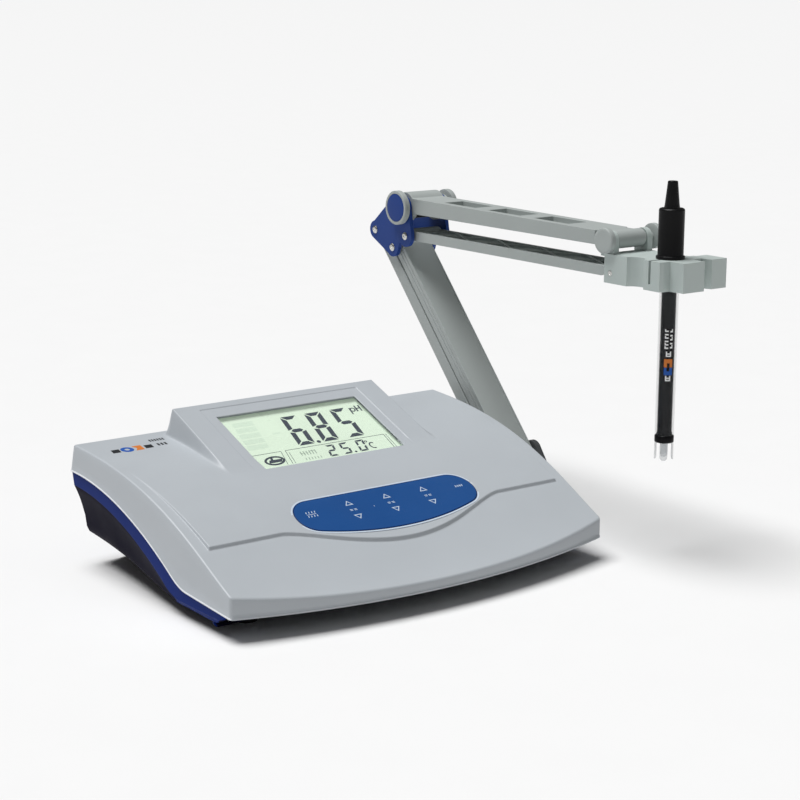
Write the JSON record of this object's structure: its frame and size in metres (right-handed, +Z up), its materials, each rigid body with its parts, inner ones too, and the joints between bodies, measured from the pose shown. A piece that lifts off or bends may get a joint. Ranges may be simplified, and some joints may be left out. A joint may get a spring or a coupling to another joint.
{
  "type": "ph meter",
  "caption": "Bench pH meter with a wedge-shaped case, hooded display, bowed membrane keypad and a sprung parallel-link arm that carries a combination electrode.",
  "frame": {"origin": "centre of the case's footprint, on the surface that its feet stand on", "axes": "+X to the user's right, +Y to the back of the case, +Z up"},
  "size_m": [0.35, 0.3253, 0.249],
  "materials": {
    "case_grey": "fine spark texture, light bluish grey",
    "band_blue": "satin deep blue",
    "foot_rubber": "matt black",
    "screw_steel": "zinc plated",
    "window_clear": "clear acrylic, glossy",
    "lcd_face": "pale green reflective liquid crystal cell",
    "white_plastic": "white",
    "board": "green solder mask",
    "keypad_blue": "satin polyester film",
    "black_plastic": "satin black",
    "core_steel": "varnished laminations",
    "panel_dark": "satin dark grey",
    "rocker_red": "glossy",
    "fuse_glass": "clear",
    "nickel": "nickel plated",
    "brass": "plain",
    "turret_grey": "dark grey",
    "arm_grey": "satin grey",
    "elbow_blue": "satin blue",
    "spring_steel": "blackened",
    "head_grey": "satin pale grey",
    "boot_rubber": "satin black",
    "tube_clear": "clear polycarbonate"
  },
  "bodies": {
    "case": {"upper_case": "case_grey", "lower_case": "band_blue", "rubber_feet": "foot_rubber", "case_screws": "screw_steel", "display_window": "window_clear", "lcd_panel": "lcd_face", "lcd_backlight": "white_plastic", "lcd_holder": "white_plastic", "display_board": "board", "keypad_overlay": "keypad_blue", "keypad_board": "board", "key_switches": "black_plastic", "main_board": "board", "transformer": "core_steel", "rear_panel": "panel_dark", "mains_inlet": "black_plastic", "inlet_pins": "nickel", "power_switch_frame": "black_plastic", "fuse_holder": "black_plastic", "fuse_tube": "fuse_glass", "bnc_socket": "nickel", "reference_terminal": "brass", "probe_socket": "black_plastic", "arm_bracket": "turret_grey", "bracket_screws": "screw_steel", "swivel_screw": "spring_steel"},
    "key_mode": {"key_mode": "keypad_blue"},
    "key_temp_up": {"key_temp_up": "keypad_blue"},
    "key_temp_down": {"key_temp_down": "keypad_blue"},
    "key_slope_up": {"key_slope_up": "keypad_blue"},
    "key_slope_down": {"key_slope_down": "keypad_blue"},
    "key_offset_up": {"key_offset_up": "keypad_blue"},
    "key_offset_down": {"key_offset_down": "keypad_blue"},
    "key_confirm": {"key_confirm": "keypad_blue"},
    "power_rocker": {"power_rocker": "rocker_red"},
    "fuse_cap": {"fuse_cap": "black_plastic"},
    "terminal_nut": {"terminal_nut": "black_plastic"},
    "turret": {"arm_turret": "turret_grey", "base_pins": "screw_steel"},
    "front_link": {"lower_front_link": "arm_grey"},
    "rear_link": {"lower_rear_link": "arm_grey"},
    "elbow": {"elbow_plate_left": "elbow_blue", "elbow_plate_right": "elbow_blue", "elbow_pins": "screw_steel", "elbow_shaft": "screw_steel", "elbow_end_disc": "arm_grey", "torsion_spring": "spring_steel"},
    "elbow_knob": {"elbow_knob": "arm_grey", "knob_disc": "elbow_blue"},
    "top_link": {"upper_top_link": "arm_grey"},
    "low_link": {"upper_lower_link": "arm_grey"},
    "head": {"clamp_head": "head_grey", "head_shaft": "arm_grey", "head_pin": "screw_steel"},
    "clamp_screw": {"clamp_screw": "black_plastic"},
    "electrode": {"electrode_cap": "boot_rubber", "electrode_boot": "boot_rubber", "electrode_tube": "tube_clear", "electrode_core": "black_plastic", "electrode_tip": "tube_clear"}
  },
  "joints": [
    {"name": "key_mode_press", "type": "slide", "parent": "case", "child": "key_mode", "axis": [0, 0.4109, -0.9117], "range_m": [0, 0.0004], "stiffness_N_per_m": 800, "springref_m": -0.0003},
    {"name": "key_temp_up_press", "type": "slide", "parent": "case", "child": "key_temp_up", "axis": [0, 0.4109, -0.9117], "range_m": [0, 0.0004], "stiffness_N_per_m": 800, "springref_m": -0.0003},
    {"name": "key_temp_down_press", "type": "slide", "parent": "case", "child": "key_temp_down", "axis": [0, 0.4109, -0.9117], "range_m": [0, 0.0004], "stiffness_N_per_m": 800, "springref_m": -0.0003},
    {"name": "key_slope_up_press", "type": "slide", "parent": "case", "child": "key_slope_up", "axis": [0, 0.4109, -0.9117], "range_m": [0, 0.0004], "stiffness_N_per_m": 800, "springref_m": -0.0003},
    {"name": "key_slope_down_press", "type": "slide", "parent": "case", "child": "key_slope_down", "axis": [0, 0.4109, -0.9117], "range_m": [0, 0.0004], "stiffness_N_per_m": 800, "springref_m": -0.0003},
    {"name": "key_offset_up_press", "type": "slide", "parent": "case", "child": "key_offset_up", "axis": [0, 0.4109, -0.9117], "range_m": [0, 0.0004], "stiffness_N_per_m": 800, "springref_m": -0.0003},
    {"name": "key_offset_down_press", "type": "slide", "parent": "case", "child": "key_offset_down", "axis": [0, 0.4109, -0.9117], "range_m": [0, 0.0004], "stiffness_N_per_m": 800, "springref_m": -0.0003},
    {"name": "key_confirm_press", "type": "slide", "parent": "case", "child": "key_confirm", "axis": [0, 0.4109, -0.9117], "range_m": [0, 0.0004], "stiffness_N_per_m": 800, "springref_m": -0.0003},
    {"name": "power_rock", "type": "hinge", "parent": "case", "child": "power_rocker", "pos_m": [0.038, 0.101, 0.032], "axis": [1, 0, 0], "range_deg": [0, 10]},
    {"name": "fuse_cap_turn", "type": "hinge", "parent": "case", "child": "fuse_cap", "pos_m": [0.016, 0.105, 0.032], "axis": [0, 1, 0], "range_deg": [0, 90]},
    {"name": "terminal_nut_turn", "type": "hinge", "parent": "case", "child": "terminal_nut", "pos_m": [-0.022, 0.105, 0.032], "axis": [0, 1, 0], "continuous": true},
    {"name": "arm_swivel", "type": "hinge", "parent": "case", "child": "turret", "pos_m": [0.1735, 0.0405, 0.012], "axis": [0, 0, 1], "range_deg": [-6, 10]},
    {"name": "lower_arm_tilt", "type": "hinge", "parent": "turret", "child": "front_link", "pos_m": [0.1735, 0.02953, 0.02465], "axis": [1, 0, 0], "range_deg": [0, 42]},
    {"name": "rear_link_tilt", "type": "hinge", "parent": "turret", "child": "rear_link", "pos_m": [0.1735, 0.05133, 0.03565], "axis": [1, 0, 0], "range_deg": [0, 42]},
    {"name": "elbow_level", "type": "hinge", "parent": "front_link", "child": "elbow", "pos_m": [0.1735, 0.1667, 0.177], "axis": [1, 0, 0], "range_deg": [-42, 0]},
    {"name": "knob_turn", "type": "hinge", "parent": "elbow", "child": "elbow_knob", "pos_m": [0.152, 0.155, 0.208], "axis": [1, 0, 0], "range_deg": [0, 180]},
    {"name": "upper_arm_tilt", "type": "hinge", "parent": "elbow", "child": "top_link", "pos_m": [0.1735, 0.155, 0.208], "axis": [1, 0, 0], "range_deg": [-35, 12]},
    {"name": "lower_rod_tilt", "type": "hinge", "parent": "elbow", "child": "low_link", "pos_m": [0.1735, 0.151, 0.187], "axis": [1, 0, 0], "range_deg": [-35, 12]},
    {"name": "head_level", "type": "hinge", "parent": "top_link", "child": "head", "pos_m": [0.1735, -0.0676, 0.208], "axis": [1, 0, 0], "range_deg": [-12, 35]},
    {"name": "clamp_screw_turn", "type": "hinge", "parent": "head", "child": "clamp_screw", "pos_m": [0.1825, -0.096, 0.195], "axis": [0, 0, 1], "range_deg": [0, 180]},
    {"name": "electrode_lift", "type": "slide", "parent": "head", "child": "electrode", "axis": [0, 0, 1], "range_m": [0, 0.03]}
  ],
  "couplings": [
    {"joint": "rear_link_tilt", "follows": "lower_arm_tilt", "ratio": 1},
    {"joint": "elbow_level", "follows": "lower_arm_tilt", "ratio": -1},
    {"joint": "lower_rod_tilt", "follows": "upper_arm_tilt", "ratio": 1},
    {"joint": "head_level", "follows": "upper_arm_tilt", "ratio": -1}
  ]
}
